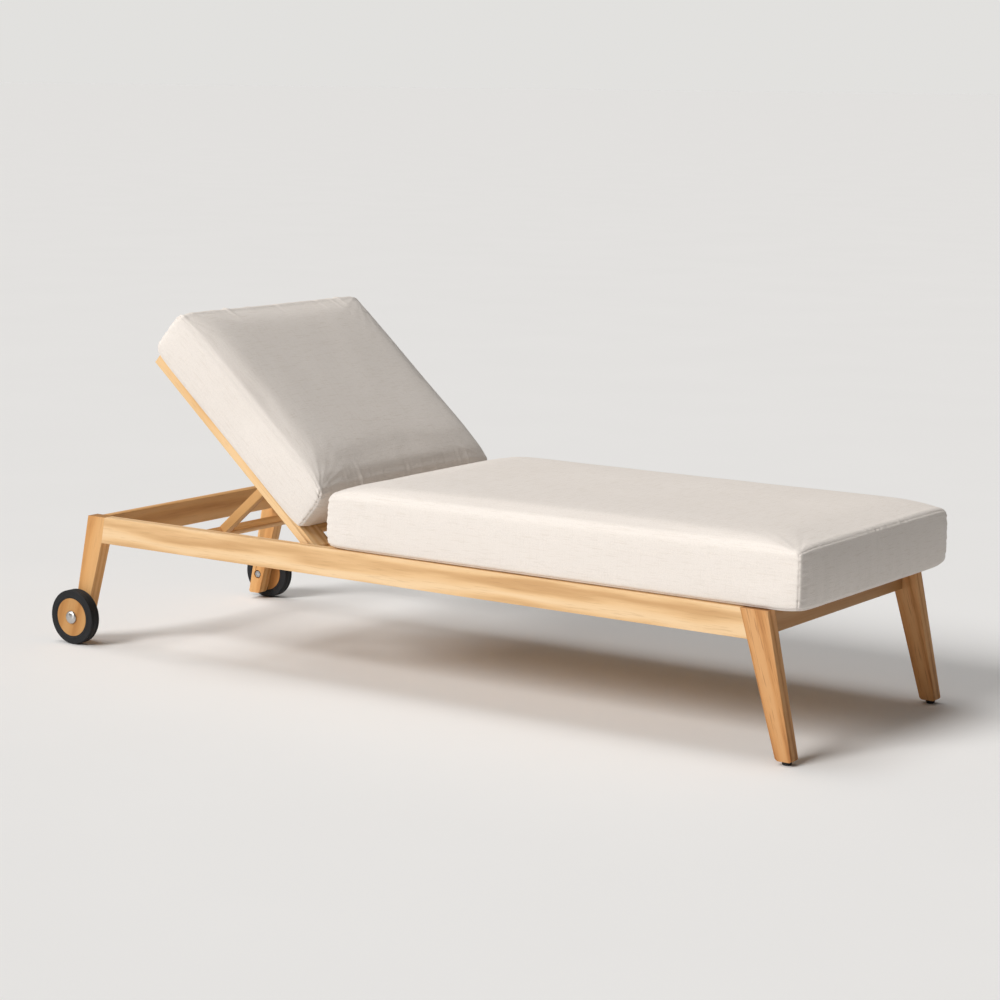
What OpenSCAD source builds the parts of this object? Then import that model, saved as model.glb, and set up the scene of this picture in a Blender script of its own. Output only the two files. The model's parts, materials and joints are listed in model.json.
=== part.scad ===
// Reclining sun lounger: a slatted hardwood frame on two wheels and two splayed
// legs, with a hinged backrest held up by a folding prop, and two thick cushions.
// Origin: middle of the lounger's box, on the ground. +X points to the foot end.

/* [Frame] */
// Width over the two side rails
frame_w = 700; // [600:5:860]
// Length of a side rail's top edge, from leg to leg
rail_l = 1737; // [1560:5:2100]
// Height of the rails' top edge above the ground
rail_top = 314; // [270:1:380]
// Depth of a side rail
rail_h = 63; // [56:1:80]
// Thickness of a side rail
rail_t = 27; // [22:1:34]
// Depth of the head, foot and hinge rails
cross_h = 62; // [46:1:63]
// Thickness of the head, foot and hinge rails
cross_t = 23; // [18:1:28]
// Distance of the head rail from the legs' outer edge at the top
head_inset = 16; // [10:1:22]
// Distance of the foot rail from the legs' outer edge at the top
foot_inset = 25; // [20:1:30]
// Diameter of the dowels in the rail joints
dowel_d = 10; // [6:1:12]
// Depth of a dowel in each of its two pieces
dowel_in = 24; // [14:1:28]

/* [Legs] */
// Thickness of a leg, across the lounger
leg_t = 32; // [27:1:40]
// Width of a head-end leg at its top
head_leg_top = 52.6; // [46:0.1:64]
// Width of a head-end leg at its bottom
head_leg_foot = 34; // [30:1:44]
// How far a head-end leg's back edge leans outward over its height
head_leg_splay = 59; // [40:1:80]
// How far the seam between rail and head-end leg leans over the rail's depth
seam_lean = 11; // [0:1:14]
// Chamfer on the corners at a leg's bottom
leg_chamfer = 4; // [2:0.5:6]
// Height of a head-end leg's bottom above the ground
head_leg_gap = 15.7; // [8:0.1:30]
// Width of a foot-end leg at its top
foot_leg_top = 63.4; // [54:0.1:76]
// Width of a foot-end leg at its bottom
foot_leg_foot = 36.5; // [32:0.5:50]
// How far a foot-end leg's inner edge leans outward over its height
foot_leg_splay = 91; // [60:1:120]
// Diameter of a glide under a foot-end leg
glide_d = 20; // [20:1:30]
// Height of a glide
glide_h = 8.4; // [5:0.1:14]

/* [Seat] */
// Number of seat slats
seat_slats = 11; // [8:1:11]
// Width of a seat slat
seat_slat_w = 62; // [50:1:70]
// Thickness of a seat slat
seat_slat_t = 14; // [12:1:18]
// Width of the bearer under the seat slats' ends
bearer_w = 22; // [18:1:30]
// Depth of the bearer
bearer_h = 24; // [20:1:30]
// Diameter of a slat screw
screw_d = 4; // [3:0.5:5]
// Length of a slat screw
screw_l = 30; // [26:1:34]

/* [Backrest] */
// Angle of the backrest above the ground
recline = 41.3; // [36:0.1:46]
// Distance from the side rails' head end to the hinge
hinge_run = 656.8; // [600:1:700]
// Gap between the stiles' ends and the head rail when the backrest lies flat
stile_end_gap = 6.8; // [4:0.1:40]
// Width of a stile
stile_w = 61; // [50:1:70]
// Thickness of a stile
stile_t = 26.5; // [20:0.5:28]
// Gap between a stile and the legs' inner faces
stile_gap = 1.2; // [0.8:0.1:6]
// Number of back slats
back_slats = 6; // [4:1:6]
// Width of a back slat
back_slat_w = 62; // [50:1:70]
// Thickness of a back slat
back_slat_t = 12; // [10:1:13]
// Distance from the hinge to the lowest back slat
back_slat_from = 36; // [30:1:50]
// Diameter of a hinge pin
pin_d = 10; // [8:1:12]

/* [Prop] */
// Distance from the hinge to the prop's pivot, along the stile
pivot_run = 216.4; // [190:0.1:230]
// How far the crossbar lies below the hinge at the set recline
bar_below = 7; // [4:0.5:10]
// Side of the square prop arms
arm_w = 22; // [18:1:24]
// Side of the square crossbar
bar_w = 21; // [18:1:24]
// Thickness of a steel pivot bracket
bracket_t = 3; // [2:0.5:4]
// Diameter of a prop pivot bolt
pivot_d = 6; // [5:1:8]
// Thickness of a ladder strip
ladder_t = 20; // [16:1:24]
// Recline angle of the lowest raised stop
low_stop = 30; // [26:1:32]
// Recline angle of the highest stop
high_stop = 50; // [48:1:52]
// Depth of the notches in the ladder strips
notch_depth = 6; // [4:0.5:6]

/* [Wheels] */
// Diameter of a tyre
tyre_d = 131.8; // [110:0.1:150]
// Diameter of the wooden disc
disc_d = 92; // [76:0.1:100]
// Width of a wheel
wheel_w = 27; // [22:1:34]
// Diameter of an axle bolt
axle_d = 10; // [8:1:12]
// Diameter of the axle bolt's domed head
dome_d = 32; // [24:1:36]
// Height of the domed head
dome_h = 7.5; // [3:0.1:10]
// Outer diameter of the wheel bush
bush_d = 16; // [14:1:20]

/* [Cushions] */
// Distance from the hinge to the seat cushion's head end
seat_cushion_from = 63.6; // [60:0.1:90]
// Distance from the frame's outer face in to the seat cushion's side
seat_cushion_side = 5; // [0:1:20]
// Thickness of the seat cushion
seat_cushion_t = 129; // [80:1:150]
// How far the seat cushion reaches past the side rails' foot end
cushion_over = 130.8; // [90:0.1:140]
// How far the back cushion reaches past the stiles' ends
back_cushion_over = 10; // [0:1:10]
// Distance from the frame's outer face in to the back cushion's side
back_cushion_side = 13; // [5:1:30]
// Thickness of the back cushion
back_cushion_t = 127; // [80:1:130]
// Distance from the hinge to the back cushion's lower end
back_cushion_from = 46.4; // [44:0.1:60]
// Bevel of the back cushion's lower front edge
cushion_bevel = 34; // [30:1:60]
// Bevel of the cushions' other edges
cushion_edge = 12; // [6:1:20]

/* [Fits] */
// Radial clearance of a turning fit
run_fit = 0.05; // [0.02:0.01:0.09]
// Radial clearance of a dowel, tenon or screw
glue_fit = 0.05; // [0.02:0.01:0.1]
// Gap between faces that move past each other
move_gap = 0.8; // [0.5:0.1:1.5]

/* [Hidden] */
$fn = 48;
oak = "#d9a561";
dark_wood = "#c08d4e";
steel = "#b9bbbd";
rubber = "#26272a";
linen = "#d8cfc3";

// Places along X are first measured from the top back corner of a head-end leg.
leg_run = rail_top - head_leg_gap;
rail_from = head_leg_top;
rail_to = rail_from + rail_l;
foot_leg_in = rail_to;
rail_bottom = rail_top - rail_h;
rail_out = frame_w / 2;
rail_in = rail_out - rail_t;
leg_in = rail_out - leg_t;
foot_run = rail_top - glide_h;
function head_back_x(z) = -head_leg_splay * (rail_top - z) / leg_run;
function foot_inner_x(z) = foot_leg_in + foot_leg_splay * (rail_top - z) / foot_run;
axle_z = tyre_d / 2;
head_front_foot = head_back_x(head_leg_gap) + head_leg_foot;
seam_x = rail_from - seam_lean;
function head_front_x(z) = seam_x
    + (head_front_foot - seam_x) * (rail_bottom - z) / (rail_bottom - head_leg_gap);
axle_x = (head_back_x(axle_z) + head_front_x(axle_z)) / 2;
cushion_to = rail_to + cushion_over;
foot_leg_reach = foot_inner_x(glide_h) + foot_leg_foot;
box_from = min(axle_x - tyre_d / 2, head_back_x(head_leg_gap));
box_to = max(cushion_to, foot_leg_reach, foot_leg_in + foot_leg_top);
middle_x = (box_from + box_to) / 2;

head_rail_x = head_inset;
foot_rail_x = foot_leg_in + foot_leg_top - foot_inset - cross_t;
slat_top = rail_top;
bearer_top = slat_top - seat_slat_t;

// The hinge: the flat backrest's front face lies just above the rails.
hinge_x = hinge_run;
hinge_z = rail_top + 1 - stile_t / 2;
stile_l = hinge_x - head_rail_x - cross_t - stile_end_gap;
stile_out = leg_in - stile_gap;
stile_in = stile_out - stile_w;
hinge_rail_x = hinge_x + stile_t / 2 + 8;
first_slat_x = hinge_rail_x + cross_t + 5;
bearer_to = foot_leg_in - 1;
last_slat_x = bearer_to - seat_slat_w - 2;
seat_pitch = (last_slat_x - first_slat_x) / (seat_slats - 1);
function seat_slat_x(i) = first_slat_x + i * seat_pitch;
back_slat_to = stile_l - 12;
back_pitch = (back_slat_to - back_slat_w - back_slat_from) / (back_slats - 1);
function back_slat_a(i) = back_slat_from + i * back_pitch;
tenon_l = 15;
tenon_t = back_slat_t - 4;
tenon_w = back_slat_w - 14;

// The prop's pivot lies under the stiles, so that the crossbar folds flat beneath them.
pivot_drop = stile_t / 2 + move_gap + bar_w / 2;
pivot_reach = sqrt(pivot_run * pivot_run + pivot_drop * pivot_drop);
pivot_lag = atan(pivot_drop / pivot_run);
prop_l = (pivot_reach * sin(recline - pivot_lag) + bar_below) / sin(recline);
arm_out = stile_in - bracket_t - move_gap;
arm_in = arm_out - arm_w;
bar_end = rail_in - 1;
// Centre of the crossbar at a recline angle: the prop always leans at that same angle.
function bar_x(a) = hinge_x - pivot_reach * cos(a - pivot_lag) - prop_l * cos(a);
function bar_z(a) = hinge_z + pivot_reach * sin(a - pivot_lag) - prop_l * sin(a);
function bar_low_x(a) = bar_x(a) - bar_w / 2 * (cos(a) - sin(a));
function bar_low_z(a) = bar_z(a) - bar_w / 2 * (cos(a) + sin(a));
stops = [0, low_stop, recline, high_stop];

// Wheels stand outside the head-end legs.
wheel_gap = 4;
wheel_in = rail_out + wheel_gap;
wheel_out = wheel_in + wheel_w;
nut_d = 18;
nut_h = 8;
nut_pocket = nut_h + 1;

// Dowel heights in the side rails, and how deep a cross rail's dowels may go.
rail_dowel_z = [rail_bottom + 17, rail_top - 17];
side_y = (rail_in + rail_out) / 2;
function head_seam_x(z) = seam_x + seam_lean * (z - rail_bottom) / rail_h;
cross_bottom = rail_top - cross_h;
cross_dowel_z = [rail_top - cross_h / 2 - 14, rail_top - cross_h / 2 + 14];
hinge_dowel_z = (cross_bottom + bearer_top) / 2;
skin = 9;

module at_side(side) { mirror([0, side < 0 ? 1 : 0, 0]) children(); }
module placed() { translate([-middle_x, 0, 0]) children(); }
// An outline in X and Z, drawn out along Y from y0 to y1.
module upright(y0, y1) {
    translate([0, y1, 0]) rotate([90, 0, 0]) linear_extrude(y1 - y0) children();
}
// A round bar along Y from y0 to y1.
module rod_y(x, z, d, y0, y1) {
    translate([x, y1, z]) rotate([90, 0, 0]) cylinder(d = d, h = y1 - y0);
}
// A round bar along X from x0 to x1.
module rod_x(y, z, d, x0, x1) {
    translate([x0, y, z]) rotate([0, 90, 0]) cylinder(d = d, h = x1 - x0);
}
// A round bar along Z from z0 to z1.
module rod_z(x, y, d, z0, z1) { translate([x, y, z0]) cylinder(d = d, h = z1 - z0); }

// Backrest space: +X runs up the backrest from the hinge, +Z points out of its front.
module on_back() {
    translate([hinge_x, 0, hinge_z]) mirror([1, 0, 0]) rotate([0, -recline, 0]) children();
}
// Prop space: the pivot is the origin and +X runs down the prop to the crossbar.
module on_prop() {
    translate([bar_x(recline), 0, bar_z(recline)]) rotate([0, -recline, 0])
        translate([prop_l, 0, 0]) mirror([1, 0, 0]) children();
}

// Dowels of the side rails: grow widens them to make their bores.
module side_dowels(grow) {
    for (z = rail_dowel_z) {
        rod_x(side_y, z, dowel_d + grow, head_seam_x(z) - dowel_in, head_seam_x(z) + dowel_in);
        rod_x(side_y, z, dowel_d + grow, foot_inner_x(z) - dowel_in, foot_inner_x(z) + dowel_in);
    }
}
// Dowels of the head and foot rails, which meet the legs' inner faces.
module cross_dowels(grow) {
    for (x = [head_rail_x + cross_t / 2, foot_rail_x + cross_t / 2], z = cross_dowel_z)
        rod_y(x, z, dowel_d + grow, leg_in - dowel_in, leg_in + leg_t - skin);
}
// Dowels of the hinge rail, which meets the side rails' inner faces.
module hinge_dowels(grow) {
    rod_y(hinge_rail_x + cross_t / 2, hinge_dowel_z, dowel_d + grow, rail_in - dowel_in,
        rail_in + rail_t - skin);
}
module hinge_pin_shape(y0, y1, grow) { rod_y(hinge_x, hinge_z, pin_d + grow, y0, y1); }

// Screws: a countersunk head on a plain shank, with the head's face at the origin.
module screw(d, l, grow) {
    rotate_extrude() polygon([
        [0, -l], [(d + grow) / 2, -l], [(d + grow) / 2, -d / 2], [d + grow / 2, 0], [0, 0]
    ]);
}
module seat_slat_screws(i, grow) {
    for (dx = [seat_slat_w / 4, 3 * seat_slat_w / 4], side = [-1, 1])
        translate([seat_slat_x(i) + dx, side * (rail_in - bearer_w / 2), slat_top])
            screw(screw_d, screw_l, grow);
}
ladder_screw_a = [for (i = [0 : len(stops) - 2]) (stops[i] + 2 * stops[i + 1]) / 3];
module ladder_side_screws(grow) {
    for (a = ladder_screw_a)
        translate([bar_low_x(a), rail_in - ladder_t, rail_bottom + skin])
            rotate([90, 0, 0]) screw(screw_d, ladder_t + rail_t - skin, grow);
}

module side_rail(side) color(oak) placed() at_side(side) difference() {
    upright(rail_in, rail_out) polygon([
        [rail_from, rail_top], [rail_to, rail_top],
        [foot_inner_x(rail_bottom), rail_bottom], [seam_x, rail_bottom]
    ]);
    side_dowels(2 * glue_fit);
    hinge_dowels(2 * glue_fit);
    hinge_pin_shape(rail_in - 1, rail_out - skin, 0);
    ladder_side_screws(2 * glue_fit);
}
module cross_rail(x, z0, z1, end_y) {
    translate([x, -end_y, z0]) cube([cross_t, 2 * end_y, z1 - z0]);
}
module head_rail() color(oak) placed() difference() {
    cross_rail(head_rail_x, cross_bottom, rail_top, leg_in);
    for (side = [-1, 1]) at_side(side) cross_dowels(2 * glue_fit);
}
module foot_rail() color(oak) placed() difference() {
    cross_rail(foot_rail_x, cross_bottom, rail_top, leg_in);
    for (side = [-1, 1]) at_side(side) cross_dowels(2 * glue_fit);
}
module hinge_rail() color(dark_wood) placed() difference() {
    cross_rail(hinge_rail_x, cross_bottom, bearer_top, rail_in);
    for (side = [-1, 1]) at_side(side) hinge_dowels(2 * glue_fit);
}
module rail_dowels() color(dark_wood) placed() for (side = [-1, 1]) at_side(side) {
    side_dowels(0);
    cross_dowels(0);
    hinge_dowels(0);
}

module head_leg(side) color(oak) placed() at_side(side) difference() {
    upright(leg_in, rail_out) polygon([
        [0, rail_top], [rail_from, rail_top], [seam_x, rail_bottom],
        [head_front_x(head_leg_gap + leg_chamfer), head_leg_gap + leg_chamfer],
        [head_front_x(head_leg_gap) - leg_chamfer, head_leg_gap],
        [head_back_x(head_leg_gap) + leg_chamfer, head_leg_gap],
        [head_back_x(head_leg_gap + leg_chamfer), head_leg_gap + leg_chamfer]
    ]);
    side_dowels(2 * glue_fit);
    cross_dowels(2 * glue_fit);
    rod_y(axle_x, axle_z, axle_d, leg_in - 1, rail_out + 1);
    rod_y(axle_x, axle_z, nut_d + 4, leg_in - 1, leg_in + nut_pocket);
}
function foot_leg_outer_x(z) = foot_inner_x(z) + foot_leg_top
    + (foot_leg_foot - foot_leg_top) * (rail_top - z) / foot_run;
glide_x = foot_inner_x(glide_h) + foot_leg_foot / 2;
glide_y = rail_out - leg_t / 2;
stem_d = 8;
stem_l = 20;
module foot_leg(side) color(oak) placed() at_side(side) difference() {
    upright(leg_in, rail_out) polygon([
        [foot_leg_in, rail_top], [foot_leg_in + foot_leg_top, rail_top],
        [foot_leg_outer_x(glide_h + leg_chamfer), glide_h + leg_chamfer],
        [foot_leg_outer_x(glide_h) - leg_chamfer, glide_h],
        [foot_inner_x(glide_h) + leg_chamfer, glide_h],
        [foot_inner_x(glide_h + leg_chamfer), glide_h + leg_chamfer]
    ]);
    side_dowels(2 * glue_fit);
    cross_dowels(2 * glue_fit);
    rod_z(glide_x, glide_y, stem_d + 2 * glue_fit, glide_h - 1, glide_h + stem_l);
}
module foot_glide(side) color(rubber) placed() at_side(side) {
    translate([glide_x, glide_y, 0]) rotate_extrude() polygon([
        [0, 0], [glide_d / 2 - 2, 0], [glide_d / 2, 2], [glide_d / 2, glide_h],
        [stem_d / 2, glide_h], [stem_d / 2, glide_h + stem_l - 1], [0, glide_h + stem_l - 1]
    ]);
}

module slat_bearer(side) color(dark_wood) placed() at_side(side) difference() {
    translate([hinge_rail_x + cross_t, rail_in - bearer_w, bearer_top - bearer_h])
        cube([bearer_to - hinge_rail_x - cross_t, bearer_w, bearer_h]);
    for (i = [0 : seat_slats - 1]) seat_slat_screws(i, 2 * glue_fit);
}
module seat_slat(i) color(oak) placed() difference() {
    translate([seat_slat_x(i), 0.5 - rail_in, bearer_top])
        cube([seat_slat_w, 2 * rail_in - 1, seat_slat_t]);
    seat_slat_screws(i, 2 * glue_fit);
}
module slat_screws() color(steel) placed()
    for (i = [0 : seat_slats - 1]) seat_slat_screws(i, 0);

// Ladder strip: its top edge follows just under the crossbar's lowest corner, and the
// notches have the crossbar's own shape at each stop.
ladder_from = bar_x(0) - bar_w;
ladder_to = bar_x(high_stop) + bar_w;
ladder_end_a = high_stop + 3;
ladder_steps = 16;
module prop_ladder(side) color(dark_wood) placed() at_side(side) difference() {
    upright(rail_in - ladder_t, rail_in) difference() {
        polygon(concat(
            [[ladder_to, rail_bottom], [ladder_from, rail_bottom],
             [ladder_from, bar_low_z(0) - move_gap],
             [bar_x(0) + bar_w / 2 + move_gap, bar_low_z(0) - move_gap]],
            [for (i = [0 : ladder_steps])
                let (a = low_stop / 2 + (ladder_end_a - low_stop / 2) * i / ladder_steps)
                [bar_low_x(a) + move_gap, bar_low_z(a) - move_gap]],
            [[ladder_to, bar_low_z(ladder_end_a) - move_gap]]
        ));
        for (a = stops)
            translate([bar_x(a), bar_z(a) - notch_depth]) rotate(a)
                square(bar_w + move_gap, center = true);
    }
    ladder_side_screws(2 * glue_fit);
}
module ladder_screws() color(steel) placed()
    for (side = [-1, 1]) at_side(side) ladder_side_screws(0);

pin_in_stile = 40;
washer_d = 18;
module hinge_pin(side) color(steel) placed() at_side(side)
    hinge_pin_shape(stile_out - pin_in_stile, rail_out - skin, 0);
module hinge_washers() color("#e8e6e0") placed() for (side = [-1, 1]) at_side(side)
    difference() {
        rod_y(hinge_x, hinge_z, washer_d, stile_out + move_gap, rail_in);
        hinge_pin_shape(stile_out, rail_in + 1, 2 * glue_fit);
    }

// The backrest, drawn lying along +X with its front face up.
slat_face = stile_t / 2;
slat_mid = slat_face - back_slat_t / 2;
module stile_shape() {
    upright(stile_in, stile_out) {
        circle(d = stile_t);
        translate([0, -stile_t / 2]) square([stile_l, stile_t]);
    }
}
module back_stile(side) color(oak) placed() on_back() at_side(side) difference() {
    stile_shape();
    rod_y(0, 0, pin_d + 2 * run_fit, stile_out - pin_in_stile - 2, stile_out + 1);
    for (i = [0 : back_slats - 1])
        translate([back_slat_a(i) + (back_slat_w - tenon_w) / 2 - glue_fit,
            stile_in - 1, slat_mid - tenon_t / 2 - glue_fit])
            cube([tenon_w + 2 * glue_fit, tenon_l + 2, tenon_t + 2 * glue_fit]);
    for (a = bracket_screw_a) bracket_screw(a, 2 * glue_fit);
}
module back_slat(i) color(oak) placed() on_back() {
    translate([back_slat_a(i), -stile_in, slat_face - back_slat_t])
        cube([back_slat_w, 2 * stile_in, back_slat_t]);
    translate([back_slat_a(i) + (back_slat_w - tenon_w) / 2, -stile_in - tenon_l,
        slat_mid - tenon_t / 2]) cube([tenon_w, 2 * (stile_in + tenon_l), tenon_t]);
}

// Steel brackets on the stiles' inner edges carry the prop's pivot below the stiles.
bracket_l = 44;
bracket_low = pivot_drop + pivot_d + 2;
bracket_screw_a = [pivot_run - 15, pivot_run + 15];
bracket_screw_z = -stile_t / 4;
module bracket_screw(a, grow) {
    translate([a, stile_in - bracket_t, bracket_screw_z]) rotate([90, 0, 0])
        screw(screw_d, 18, grow);
}
module prop_bracket(side) color(steel) placed() on_back() at_side(side) difference() {
    upright(stile_in - bracket_t, stile_in) hull() {
        translate([pivot_run - bracket_l / 2, -stile_t / 2]) square([bracket_l, stile_t / 2 - 1]);
        translate([pivot_run, -pivot_drop]) circle(r = pivot_d + 2, $fn = 32);
    }
    rod_y(pivot_run, -pivot_drop, pivot_d, stile_in - bracket_t - 1, stile_in + 1);
    for (a = bracket_screw_a) bracket_screw(a, 2 * glue_fit);
}
pivot_head_h = 3.5;
module prop_pivot_bolts() color(steel) placed() on_back() for (side = [-1, 1]) at_side(side) {
    rod_y(pivot_run, -pivot_drop, pivot_d, arm_in - move_gap - 5, stile_in + pivot_head_h);
    rod_y(pivot_run, -pivot_drop, pivot_d + 4, stile_in, stile_in + pivot_head_h);
    rod_y(pivot_run, -pivot_drop, pivot_d + 4, arm_in - move_gap - 5, arm_in - move_gap);
    for (a = bracket_screw_a) bracket_screw(a, 0);
}

// The prop, drawn along +X from its pivot.
swing_r = pivot_drop + slat_face - back_slat_t - move_gap;
arm_past = sqrt(swing_r * swing_r - arm_w * arm_w / 4);
arm_foot = prop_l - bar_w / 2;
prop_dowel_d = 8;
module foot_dowel(grow) {
    rod_x((arm_out + arm_in) / 2, 0, prop_dowel_d + grow, arm_foot - 20, arm_foot + bar_w - 6);
}
module prop_arm(side) color(oak) placed() on_prop() at_side(side) difference() {
    translate([arm_foot, arm_in, -arm_w / 2]) mirror([1, 0, 0])
        cube([arm_past + arm_foot, arm_w, arm_w]);
    foot_dowel(2 * glue_fit);
    rod_y(0, 0, pivot_d + 2 * run_fit, arm_in - 1, arm_out + 1);
}
module prop_crossbar() color(dark_wood) placed() on_prop() difference() {
    translate([arm_foot, -bar_end, -bar_w / 2]) cube([bar_w, 2 * bar_end, bar_w]);
    for (side = [-1, 1]) at_side(side) foot_dowel(2 * glue_fit);
}
module prop_dowels() color(dark_wood) placed() on_prop()
    for (side = [-1, 1]) at_side(side) foot_dowel(0);

// Wheels: a turned wooden disc with a rubber tyre, on a plastic bush.
rib_w = 9;
rib_h = 3;
module on_axle(side) placed() at_side(side) translate([axle_x, wheel_in, axle_z])
    rotate([-90, 0, 0]) children();
module wheel_disc(side) color(oak) on_axle(side) difference() {
    rotate_extrude($fn = 96) polygon([
        [bush_d / 2, 0], [disc_d / 2, 0], [disc_d / 2, (wheel_w - rib_w) / 2],
        [disc_d / 2 - rib_h, (wheel_w - rib_w) / 2], [disc_d / 2 - rib_h, (wheel_w + rib_w) / 2],
        [disc_d / 2, (wheel_w + rib_w) / 2], [disc_d / 2, wheel_w], [bush_d / 2, wheel_w]
    ]);
}
shoulder = 1.6;
groove_h = 1.4;
groove_w = 3;
function tread_groove(y) = [
    [tyre_d / 2, y - groove_w / 2], [tyre_d / 2 - groove_h, y - groove_w / 4],
    [tyre_d / 2 - groove_h, y + groove_w / 4], [tyre_d / 2, y + groove_w / 2]
];
module tyre(side) color(rubber) on_axle(side) rotate_extrude($fn = 96) polygon(concat(
    [[disc_d / 2, 0], [tyre_d / 2 - shoulder, 0], [tyre_d / 2, shoulder]],
    tread_groove(wheel_w / 4), tread_groove(3 * wheel_w / 4),
    [[tyre_d / 2, wheel_w - shoulder], [tyre_d / 2 - shoulder, wheel_w],
     [disc_d / 2, wheel_w], [disc_d / 2, (wheel_w + rib_w) / 2],
     [disc_d / 2 - rib_h, (wheel_w + rib_w) / 2], [disc_d / 2 - rib_h, (wheel_w - rib_w) / 2],
     [disc_d / 2, (wheel_w - rib_w) / 2]]
));
module wheel_bush(side) color("#f0eee8") on_axle(side) difference() {
    cylinder(d = bush_d, h = wheel_w);
    translate([0, 0, -1]) cylinder(d = axle_d + 2 * run_fit, h = wheel_w + 2);
}
dome_gap = move_gap / 2;
module axle_bolt(side) color(steel) on_axle(side) rotate_extrude() polygon(concat(
    [[0, -wheel_gap - leg_t + 1], [axle_d / 2, -wheel_gap - leg_t + 1],
     [axle_d / 2, wheel_w + dome_gap], [dome_d / 2, wheel_w + dome_gap]],
    [for (t = [0 : 15 : 90]) [dome_d / 2 * cos(t), wheel_w + dome_gap + 1 + (dome_h - 1) * sin(t)]]
));
module axle_hardware() color(steel) for (side = [-1, 1]) on_axle(side) {
    difference() {
        translate([0, 0, -wheel_gap]) cylinder(d = axle_d + 14, h = wheel_gap - move_gap);
        translate([0, 0, -wheel_gap - 1]) cylinder(d = axle_d, h = wheel_gap + 1);
    }
    difference() {
        translate([0, 0, -wheel_gap - leg_t + 1]) cylinder(d = nut_d, h = nut_h, $fn = 6);
        translate([0, 0, -wheel_gap - leg_t]) cylinder(d = axle_d, h = nut_h + 2);
    }
}

// A cushion: a block whose edges are bevelled by edge.
module cushion(l, w, t, edge) hull() {
    translate([edge, edge - w / 2, 0]) cube([l - 2 * edge, w - 2 * edge, t]);
    translate([0, -w / 2, edge]) cube([l, w, t - 2 * edge]);
}
seat_cushion_x = hinge_x + seat_cushion_from;
back_cushion_l = stile_l + back_cushion_over - back_cushion_from;
back_cushion_w = frame_w - 2 * back_cushion_side;
bevel_side = sqrt(2) * cushion_bevel;
module seat_cushion() color(linen) placed() translate([seat_cushion_x, 0, rail_top])
    cushion(cushion_to - seat_cushion_x, frame_w - 2 * seat_cushion_side, seat_cushion_t,
        cushion_edge);
module back_cushion() color(linen) placed() on_back() difference() {
    translate([back_cushion_from, 0, slat_face])
        cushion(back_cushion_l, back_cushion_w, back_cushion_t, cushion_edge);
    translate([back_cushion_from, 0, slat_face + back_cushion_t]) rotate([0, 45, 0])
        cube([bevel_side, back_cushion_w + 2, bevel_side], center = true);
}

side_rail(1);  // side_rail_left
side_rail(-1);  // side_rail_right
head_rail();
foot_rail();
hinge_rail();
head_leg(1);  // head_leg_left
head_leg(-1);  // head_leg_right
foot_leg(1);  // foot_leg_left
foot_leg(-1);  // foot_leg_right
slat_bearer(1);  // slat_bearer_left
slat_bearer(-1);  // slat_bearer_right
seat_slat(0);  // seat_slat_1
seat_slat(1);  // seat_slat_2
seat_slat(2);  // seat_slat_3
seat_slat(3);  // seat_slat_4
seat_slat(4);  // seat_slat_5
seat_slat(5);  // seat_slat_6
seat_slat(6);  // seat_slat_7
seat_slat(7);  // seat_slat_8
seat_slat(8);  // seat_slat_9
seat_slat(9);  // seat_slat_10
seat_slat(10);  // seat_slat_11
prop_ladder(1);  // prop_ladder_left
prop_ladder(-1);  // prop_ladder_right
rail_dowels();
slat_screws();
ladder_screws();
foot_glide(1);  // foot_glide_left
foot_glide(-1);  // foot_glide_right
hinge_pin(1);  // hinge_pin_left
hinge_pin(-1);  // hinge_pin_right
hinge_washers();
back_stile(1);  // back_stile_left
back_stile(-1);  // back_stile_right
back_slat(0);  // back_slat_1
back_slat(1);  // back_slat_2
back_slat(2);  // back_slat_3
back_slat(3);  // back_slat_4
back_slat(4);  // back_slat_5
back_slat(5);  // back_slat_6
prop_bracket(1);  // prop_bracket_left
prop_bracket(-1);  // prop_bracket_right
prop_pivot_bolts();
prop_arm(1);  // prop_arm_left
prop_arm(-1);  // prop_arm_right
prop_crossbar();
prop_dowels();
wheel_disc(1);  // wheel_disc_left
wheel_disc(-1);  // wheel_disc_right
tyre(1);  // tyre_left
tyre(-1);  // tyre_right
wheel_bush(1);  // wheel_bush_left
wheel_bush(-1);  // wheel_bush_right
axle_bolt(1);  // axle_bolt_left
axle_bolt(-1);  // axle_bolt_right
axle_hardware();
seat_cushion();
back_cushion();
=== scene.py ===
import bpy, bmesh, json, math, random
import numpy as np
from mathutils import Vector, Matrix
from mathutils.bvhtree import BVHTree


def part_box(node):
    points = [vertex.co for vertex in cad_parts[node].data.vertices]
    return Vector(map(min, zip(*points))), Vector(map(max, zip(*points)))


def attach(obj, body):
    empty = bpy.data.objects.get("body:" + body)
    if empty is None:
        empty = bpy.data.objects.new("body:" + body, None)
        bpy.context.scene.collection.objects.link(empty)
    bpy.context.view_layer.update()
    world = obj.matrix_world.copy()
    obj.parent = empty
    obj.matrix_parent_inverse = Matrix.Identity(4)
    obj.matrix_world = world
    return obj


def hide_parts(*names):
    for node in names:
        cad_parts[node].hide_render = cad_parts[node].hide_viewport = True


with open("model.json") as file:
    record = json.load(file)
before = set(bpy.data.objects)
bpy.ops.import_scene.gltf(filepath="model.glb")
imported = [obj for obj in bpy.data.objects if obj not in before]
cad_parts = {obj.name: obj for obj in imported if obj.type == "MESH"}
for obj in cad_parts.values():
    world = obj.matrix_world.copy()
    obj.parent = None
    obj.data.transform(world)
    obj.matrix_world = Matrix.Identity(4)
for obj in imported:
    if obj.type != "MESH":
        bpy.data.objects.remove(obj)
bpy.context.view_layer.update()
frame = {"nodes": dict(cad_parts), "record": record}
joints = {j["name"]: j for j in frame["record"]["behaviour"]["joints"]}
bodyOf = {n: b for b, nodes in frame["record"]["behaviour"]["bodies"].items() for n in nodes}
slotOf = {s["node"]: s["material_slot"] for s in frame["record"]["subparts"]}
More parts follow.
